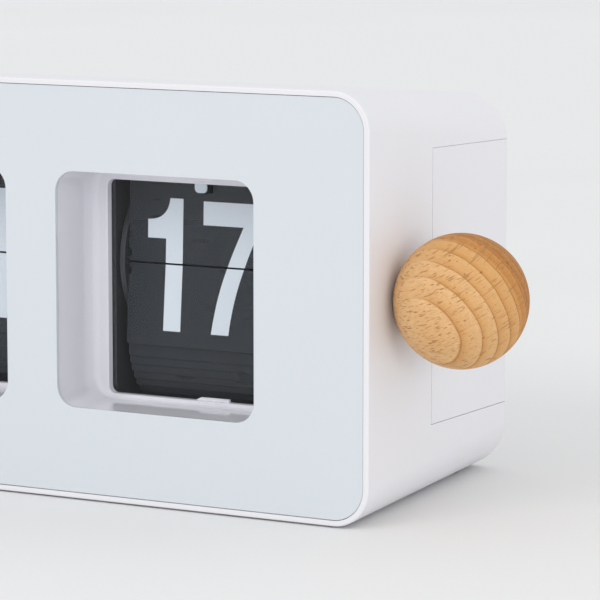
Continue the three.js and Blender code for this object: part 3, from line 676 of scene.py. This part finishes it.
def build_tunnel(unit, middle):
    start, rear = SHEET_HIGH.y + TOUCH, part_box(f"{unit}_bezel")[1].y
    face = FRONT + TUNNEL_REAR
    fillet = [
        (face - TUNNEL_FILLET + TUNNEL_FILLET * math.sin(t), TUNNEL_FILLET * (1 - math.cos(t)))
        for t in (math.pi / 2 * i / 6 for i in range(7))
    ]
    opening = (middle - WINDOW_HALF + FRAME_SIDE, middle + WINDOW_HALF - FRAME_SIDE)

    def frame_ring(grow):
        return rounded_ring(
            opening[0] - grow,
            opening[1] + grow,
            FRAME_LOW - grow,
            FRAME_HIGH + grow,
            FRAME_CORNER + grow,
        )

    def wall_ring(inset):
        """The tunnel's wall, drawn in at the sides and the top but level along the floor."""
        room = min(inset, FLOOR_DRAW)
        return rounded_ring(
            middle - WINDOW_HALF - TUNNEL_OVER + inset,
            middle + WINDOW_HALF + TUNNEL_OVER - inset,
            WINDOW_LOW - TUNNEL_OVER + 0.5 * room,
            WINDOW_HIGH + TUNNEL_OVER - inset,
            WINDOW_CORNER + TUNNEL_OVER - 0.5 * inset,
        )

    rings = [(start, window_ring(middle, TUNNEL_OVER))]
    rings += [(y, wall_ring(inset)) for y, inset in fillet]
    rings += [
        (face, frame_ring(FRAME_EDGE)),
        (face + FRAME_EDGE, frame_ring(0)),
        (face + FRAME_THICK - FRAME_EDGE, frame_ring(0)),
        (face + FRAME_THICK, frame_ring(FRAME_EDGE)),
        (face + FRAME_THICK, window_ring(middle, TUNNEL_OVER + TUNNEL_SKIN)),
        (start, window_ring(middle, TUNNEL_OVER + TUNNEL_SKIN)),
    ]
    tunnel = sweep(f"{unit}_tunnel", rings, closed=True)
    place(tunnel, "clock", "bezel", f"{unit}_bezel", angle=25)
    base = FRAME_LOW - 0.2 * MM
    outline = [
        (middle + TAB_LEFT, base),
        (middle + TAB_RIGHT, base),
        (middle + TAB_RIGHT, base + TAB_TALL),
        (middle + TAB_SLOPE_END, base + TAB_TALL),
    ]
    tab = prism(f"{unit}_tab", outline, rear - TAB_THICK, rear)
    place(soften(tab, 0.1 * MM), "clock", "bezel")


# ---------------------------------------------------------------- digits
CELL = 17.4 * MM  # width given to a digit
DIGIT_BASE = 38.4 * MM
PAIR_SHIFT = {"hour": 0.25 * MM, "minute": -0.35 * MM}  # of a number from the leaf's middle
INK = 0.05 * MM  # thickness
INK_OUT = 0.4 * INK  # from the leaf's face to the middle of the ink
INK_MARGIN = 0.03 * MM  # the ink stops short of the leaf's split edge
WELD = 0.001 * MM
BEZIER_STEPS = 14
OVAL_STEPS = 40


def bezier(p0, p1, p2, p3):
    """Points of a cubic curve, without its first one."""
    points = []
    for i in range(1, BEZIER_STEPS + 1):
        t = i / BEZIER_STEPS
        s = 1 - t
        weights = (s ** 3, 3 * s * s * t, 3 * s * t * t, t ** 3)
        points.append(tuple(sum(w * p[k] for w, p in zip(weights, (p0, p1, p2, p3))) for k in (0, 1)))
    return points


def oval(cx, cy, rx, ry, start=0, turn=360):
    """Points along a part of an ellipse, from start degrees through turn degrees."""
    angles = [math.radians(start + turn * i / OVAL_STEPS) for i in range(OVAL_STEPS + 1)]
    return [(cx + rx * math.cos(t), cy + ry * math.sin(t)) for t in angles]


# A digit's outlines are in millimetres, from the bottom left of its cell.
def digit_one():
    stem = [(9.0, 32.1), (12.6, 32.1), (12.5, 0.0), (7.75, 0.0)]
    flag = [(7.9, 22.3), (2.85, 22.3), (2.85, 26.8)]
    return [stem + flag + bezier((2.85, 26.8), (6.6, 26.8), (8.6, 28.6), (9.0, 32.1))[:-1]]


def digit_seven():
    left = bezier((11.8, 26.1), (8.0, 17.8), (5.2, 12.0), (3.6, 0.0))
    right = bezier((8.4, 0.0), (9.2, 8.6), (11.6, 16.4), (16.6, 26.6))
    return [[(16.6, 31.8), (0.8, 31.8), (0.8, 26.1), (11.8, 26.1)] + left + [(8.4, 0.0)] + right]


def digit_eight():
    outer = oval(8.7, 24.0, 7.1, 8.1, -45, 270) + [(4.5, 16.9)]
    outer += oval(8.7, 9.0, 7.9, 9.0, 135, 270) + [(12.9, 16.9)]
    return [outer, oval(8.7, 24.2, 2.8, 3.9), oval(8.7, 8.7, 3.3, 4.9)]


def digit_two():
    outer = oval(8.7, 23.6, 7.9, 8.5, 180, -215)
    outer += bezier(outer[-1], (13.6, 14.6), (8.6, 10.4), (7.2, 5.0))
    outer += [(16.4, 5.0), (16.4, 0.0), (0.9, 0.0)]
    outer += bezier((0.9, 0.0), (1.6, 10.6), (8.6, 15.4), (10.8, 19.8))
    outer += oval(8.7, 23.6, 3.5, 3.9, -45, 225)
    return [outer]


DIGITS = {"1": digit_one, "7": digit_seven, "8": digit_eight, "2": digit_two}


def digit_area(character, x, name):
    """A digit as a flat filled curve turned into a thin solid, standing in the (x, z) plane."""
    curve = bpy.data.curves.new(name, "CURVE")
    curve.dimensions = "2D"
    curve.fill_mode = "BOTH"
    curve.extrude = INK / 2
    for outline in DIGITS[character]():
        spline = curve.splines.new("POLY")
        spline.points.add(len(outline) - 1)
        for point, (u, v) in zip(spline.points, outline):
            point.co = (x + u * MM, DIGIT_BASE + v * MM, 0, 1)
        spline.use_cyclic_u = True
    source = bpy.data.objects.new(name, curve)
    bpy.context.scene.collection.objects.link(source)
    bpy.context.view_layer.update()
    evaluated = source.evaluated_get(bpy.context.evaluated_depsgraph_get())
    mesh = bpy.data.meshes.new_from_object(evaluated)
    bpy.data.objects.remove(source)
    mesh.transform(Matrix.Rotation(math.pi / 2, 4, "X"))
    return mesh


def half_number(name, text, unit, upper):
    """The upper or lower half of a two-digit number, at y = 0 in the (x, z) plane."""
    bm = bmesh.new()
    for i, character in enumerate(text):
        x = UNITS[unit] + PAIR_SHIFT[unit] + (i - 1) * CELL
        mesh = digit_area(character, x, name)
        bm.from_mesh(mesh)
        bpy.data.meshes.remove(mesh)
    bmesh.ops.remove_doubles(bm, verts=bm.verts, dist=WELD)
    side = 1 if upper else -1
    cut = SPLIT_Z + side * (LEAF_CLEAR + INK_MARGIN)
    everything = bm.verts[:] + bm.edges[:] + bm.faces[:]
    found = bmesh.ops.bisect_plane(
        bm, geom=everything, plane_co=(0, 0, cut), plane_no=(0, 0, -side), clear_outer=True,
    )
    edges = [e for e in found["geom_cut"] if isinstance(e, bmesh.types.BMEdge)]
    bmesh.ops.holes_fill(bm, edges=edges)
    return make(name, bm)


# ---------------------------------------------------------------- leaves
def about_pivot(y, tilt):
    """Tilts a card about its split line at depth y."""
    return Matrix.Translation((0, y, SPLIT_Z)) @ Matrix.Rotation(tilt, 4, "X")


GRIP_LOW = 1.1 * MM  # from the leaf's split edge to the cut-outs beside its pivots
GRIP_HIGH = 2.6 * MM
GRIP_DEPTH = 0.7 * MM
LEAF_CORNER_STEPS = 4
CLIP_OFFSET = 0.8 * MM  # of the hook and its notch from the middle of the leaf
NOTCH_HALF = 2.1 * MM
NOTCH_DEPTH = 2.4 * MM


def card(name, middle, up, notch=False):
    """A leaf standing on (up = 1) or hanging from (up = -1) the split line, at y = 0, z = 0."""
    top = LEAF_HEIGHT + LEAF_CLEAR
    grip_low = LEAF_CLEAR + GRIP_LOW
    grip_high = LEAF_CLEAR + GRIP_HIGH
    side = [
        (0, LEAF_CLEAR),
        (0, grip_low),
        (GRIP_DEPTH, grip_low + 0.3 * MM),
        (GRIP_DEPTH, grip_high),
        (0, grip_high + 0.5 * MM),
    ]
    for i in range(LEAF_CORNER_STEPS + 1):
        turn = math.pi / 2 * i / LEAF_CORNER_STEPS
        side.append((LEAF_CORNER * (1 - math.cos(turn)), top - LEAF_CORNER * (1 - math.sin(turn))))
    outline = [(middle - LEAF_HALF + inward, z) for inward, z in side]
    if notch:
        left = middle + CLIP_OFFSET - NOTCH_HALF
        right = middle + CLIP_OFFSET + NOTCH_HALF
        low = top - NOTCH_DEPTH
        outline += [(left, top), (left, low), (right, low), (right, top)]
    outline += [(middle + LEAF_HALF - inward, z) for inward, z in reversed(side)]
    outline = [(x, up * z) for x, z in outline]
    return soften(prism(name, outline, -LEAF_THICK / 2, LEAF_THICK / 2), 0.08 * MM, 1)


def leaf(unit, name, body, y, up, tilt, text, behind=None):
    """A leaf with the half number on its front face and, if it can turn, one on its back."""
    node = f"{unit}_{name}_leaf"
    base = card(f"{unit}_{name}_card", UNITS[unit], up, notch=up > 0)
    stand = about_pivot(y, tilt)
    base.data.transform(stand)
    place(base, body, "leaf", node, angle=40)
    face = Matrix.Translation((0, -LEAF_THICK / 2 - INK_OUT, -SPLIT_Z))
    number = half_number(f"{unit}_{name}_digits", text, unit, up > 0)
    number.data.transform(stand @ face)
    place(number, body, "white_trim")
    if behind:
        # The back shows the next number's lower half, upright once the leaf has fallen forward.
        number = half_number(f"{unit}_{name}_back_digits", behind, unit, False)
        number.data.transform(stand @ Matrix.Rotation(math.pi, 4, "X") @ face)
        place(number, body, "white_trim")


NEXT_PLANE = LEAF_PLANE + 0.9 * MM  # where the next upper leaf stands


def build_leaves(unit, shown, following):
    leaf(unit, "upper", f"{unit}_flap", LEAF_PLANE, 1, -LEAF_LEAN, shown, following)
    leaf(unit, "next", "clock", NEXT_PLANE, 1, -LEAF_LEAN, following)
    leaf(unit, "lower", "clock", LEAF_PLANE, -1, -LEAF_DROP, shown)


HANGING = 9  # cards that show behind the lower one
STEPS = {"hour": 7.5, "minute": 6}  # degrees from pivot to pivot
HANG_TILT = -2.6  # degrees, of the front card
HANG_FAN = 0.35  # degrees from card to card


def build_hanging(unit):
    """The cards that wait behind the lower one, each a pivot step further round the drum."""
    middle = UNITS[unit]
    for k in range(1, HANGING + 1):
        angle = math.radians(180 + STEPS[unit] * (k + 0.5))
        y = DRUM_Y + PIVOT_RADIUS * math.cos(angle)
        z = SPLIT_Z + PIVOT_RADIUS * math.sin(angle)
        piece = card(f"{unit}_hanging_{k}", middle, -1)
        tilt = math.radians(HANG_TILT + HANG_FAN * k)
        piece.data.transform(Matrix.Translation((0, y, z)) @ Matrix.Rotation(tilt, 4, "X"))
        place(piece, "clock", "leaf", f"{unit}_waiting_leaves", angle=40)


LIP_THICK = 0.4 * MM
LIP_CORNER = 1.1 * MM
ARM_TALL = 0.8 * MM


def build_clip(unit):
    """The white hook over the upper leaf's top edge, with a rounded lip."""
    low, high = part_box(f"{unit}_clip")
    lip = rounded_ring(low.x, high.x, low.z, high.z, LIP_CORNER, SMALL_CORNER_STEPS)
    clip = prism(f"{unit}_hook", lip, low.y, low.y + LIP_THICK)
    arm = block("arm", low.x, high.x, low.y, high.y, high.z - ARM_TALL, high.z)
    combine(clip, arm, "UNION")
    place(soften(clip, 0.1 * MM), "clock", "white_trim", f"{unit}_clip")


# ---------------------------------------------------------------- drums
DISC_RADIUS = 21.3 * MM
DISC_BORE = 2.2 * MM  # radius
LIGHTENING_HOLE = 4 * MM  # radius
LIGHTENING_CIRCLE = 13 * MM  # radius that the lightening holes lie on
PINS = 60
PIN_HOLE = 0.45 * MM  # radius


def build_disc(node, body):
    """A drum's end disc: lightening holes, and a pin hole for every leaf round its edge."""
    low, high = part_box(node)
    centre = (DRUM_Y, SPLIT_Z)
    disc = rod(f"{node}_fine", DISC_RADIUS, low.x, high.x, centre, "x", 180)
    cutters = bmesh.new()

    def hole(radius, angle, distance, sides):
        y = centre[0] + distance * math.cos(angle)
        z = centre[1] + distance * math.sin(angle)
        spot = Matrix.Translation(((low.x + high.x) / 2, y, z))
        bmesh.ops.create_cone(
            cutters, cap_ends=True, segments=sides, radius1=radius, radius2=radius,
            depth=4 * MM, matrix=spot @ Matrix.Rotation(math.pi / 2, 4, "Y"),
        )

    hole(DISC_BORE, 0, 0, 32)
    for i in range(4):
        hole(LIGHTENING_HOLE, math.pi / 4 + i * math.pi / 2, LIGHTENING_CIRCLE, 32)
    for i in range(PINS):
        hole(PIN_HOLE, 2 * math.pi * (i + 0.5) / PINS, PIVOT_RADIUS, 10)
    combine(disc, make("holes", cutters), "DIFFERENCE")
    place(soften(disc, 0.12 * MM, 2), body, "drum", node)


# ---------------------------------------------------------------- knob and feet
BORE = 2.8 * MM  # radius
BORE_DEPTH = 17 * MM


def build_ball():
    flat = BALL_LOW.x
    bm = bmesh.new()
    bmesh.ops.create_uvsphere(bm, u_segments=112, v_segments=72, radius=BALL_RADIUS)
    bmesh.ops.rotate(bm, verts=bm.verts, matrix=Matrix.Rotation(math.pi / 2, 3, "Y"))
    bmesh.ops.translate(bm, verts=bm.verts, vec=BALL)
    everything = bm.verts[:] + bm.edges[:] + bm.faces[:]
    cut = bmesh.ops.bisect_plane(
        bm, geom=everything, plane_co=(flat, 0, 0), plane_no=(-1, 0, 0), clear_outer=True,
    )
    edges = [e for e in cut["geom_cut"] if isinstance(e, bmesh.types.BMEdge)]
    bmesh.ops.holes_fill(bm, edges=edges)
    ball = make("beech_ball", bm)
    bore = rod("bore", BORE, flat - MM, flat + BORE_DEPTH, (BALL.y, BALL.z), "x", 48)
    combine(ball, bore, "DIFFERENCE")
    soften(ball, 0.35 * MM, 3, 28)
    place(ball, "knob", "wood", "knob_ball")


FOOT_RADIUS = 5 * MM


def build_foot(node):
    low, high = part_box(node)
    middle = (low + high) / 2
    bm = bmesh.new()
    bmesh.ops.create_cone(
        bm, cap_ends=True, segments=64, radius1=FOOT_RADIUS, radius2=FOOT_RADIUS,
        depth=high.z - low.z, matrix=Matrix.Translation(middle),
    )
    place(soften(make(f"{node}_pad", bm), 0.2 * MM), "clock", "rubber", node)


# ---------------------------------------------------------------- assembly
build_case()
build_cover()
build_door()
for screw in SCREWS:
    build_screw(screw)
for number in range(1, 5):
    build_foot(f"foot_{number}")
build_front()
for unit_name, unit_middle in UNITS.items():
    build_tunnel(unit_name, unit_middle)
    build_hanging(unit_name)
    build_clip(unit_name)
    for side in ("left", "right"):
        build_disc(f"{unit_name}_disc_{side}", f"{unit_name}_drum")
build_leaves("minute", "17", "18")
build_leaves("hour", "11", "12")
build_ball()

slots = {part["node"]: part["material_slot"] for part in frame["record"]["subparts"]}
for node_name, node in frame["nodes"].items():
    node.data.materials.clear()
    node.data.materials.append(LOOKS[slots[node_name]])

# ---------------------------------------------------------------- floor, light and camera
FLOOR_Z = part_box("foot_1")[0].z
FLOOR_RADIUS = 6
# Painted shade on the floor: the paper is painted darker round the clock and fades to its own far tone
# between NEAR and FAR.
NEAR, FAR = 0.3, 1.8  # from the clock's middle
PAPER_IN_PAINTED_SHADE, FAR_PAPER, PAPER_CLOUD = (0.81, 0.81, 0.805), (0.88, 0.88, 0.88), (0.86, 0.86, 0.86)
WORLD_STRENGTH = 0.888


def build_floor():
    bm = bmesh.new()
    bmesh.ops.create_circle(bm, cap_ends=True, segments=96, radius=FLOOR_RADIUS)
    floor = make("floor", bm)
    floor.location.z = FLOOR_Z
    shader = Shader("floor_paper")
    tone = shader.noise(shader.place, 3, 2)
    distance = shader.vector("LENGTH", shader.place, (0, 0, 0), "Value")
    # painted shade: the paper darkens towards the clock
    paper_with_painted_shade = shader.mix(shader.span(distance, NEAR, FAR, 0, 1), PAPER_IN_PAINTED_SHADE, FAR_PAPER)
    shader.set(
        color=shader.mix(shader.span(tone, *COMMON, 0, 1), paper_with_painted_shade, PAPER_CLOUD),
        roughness=0.9,
        specular=0.1,
    )
    floor.data.materials.append(shader.material)


def area_light(name, place_at, aim, size, power, color):
    light = bpy.data.lights.new(name, "AREA")
    light.shape = "DISK"
    light.size = size
    light.energy = power
    light.color = color
    lamp = bpy.data.objects.new(name, light)
    lamp.location = place_at
    lamp.rotation_euler = (Vector(aim) - Vector(place_at)).to_track_quat("-Z", "Y").to_euler()
    bpy.context.scene.collection.objects.link(lamp)


def build_light():
    world = bpy.data.worlds.new("studio")
    world.use_nodes = True
    background = world.node_tree.nodes["Background"]
    background.inputs["Color"].default_value = (0.98, 0.99, 1.0, 1)
    background.inputs["Strength"].default_value = WORLD_STRENGTH
    bpy.context.scene.world = world
    middle = (0, 0, 0.05)
    area_light("key", (-0.9, -3.6, 2.4), middle, size=2.4, power=37, color=(1, 0.99, 0.98))
    area_light("fill", (2.9, -1.7, 0.4), middle, size=1.6, power=22, color=(0.99, 0.99, 1))
    bpy.context.scene.view_settings.view_transform = "Standard"


CAMERA_AZIMUTH = math.radians(28.33)
CAMERA_ELEVATION = math.radians(8.03)
CAMERA_DISTANCE = 0.773
CAMERA_AIM = Vector((72.85 * MM, FRONT, 51.89 * MM))
CAMERA_LENS = 203.3
SENSOR_WIDTH = 36


def build_camera():
    camera = bpy.data.cameras.new("camera")
    camera.lens = CAMERA_LENS
    camera.sensor_width = SENSOR_WIDTH
    camera.clip_start = 0.05
    camera.clip_end = 30
    back = Vector((
        math.sin(CAMERA_AZIMUTH) * math.cos(CAMERA_ELEVATION),
        -math.cos(CAMERA_AZIMUTH) * math.cos(CAMERA_ELEVATION),
        math.sin(CAMERA_ELEVATION),
    ))
    stand = bpy.data.objects.new("camera", camera)
    stand.location = CAMERA_AIM + back * CAMERA_DISTANCE
    stand.rotation_euler = back.to_track_quat("Z", "Y").to_euler()
    bpy.context.scene.collection.objects.link(stand)
    bpy.context.scene.camera = stand


build_floor()
build_light()
build_camera()
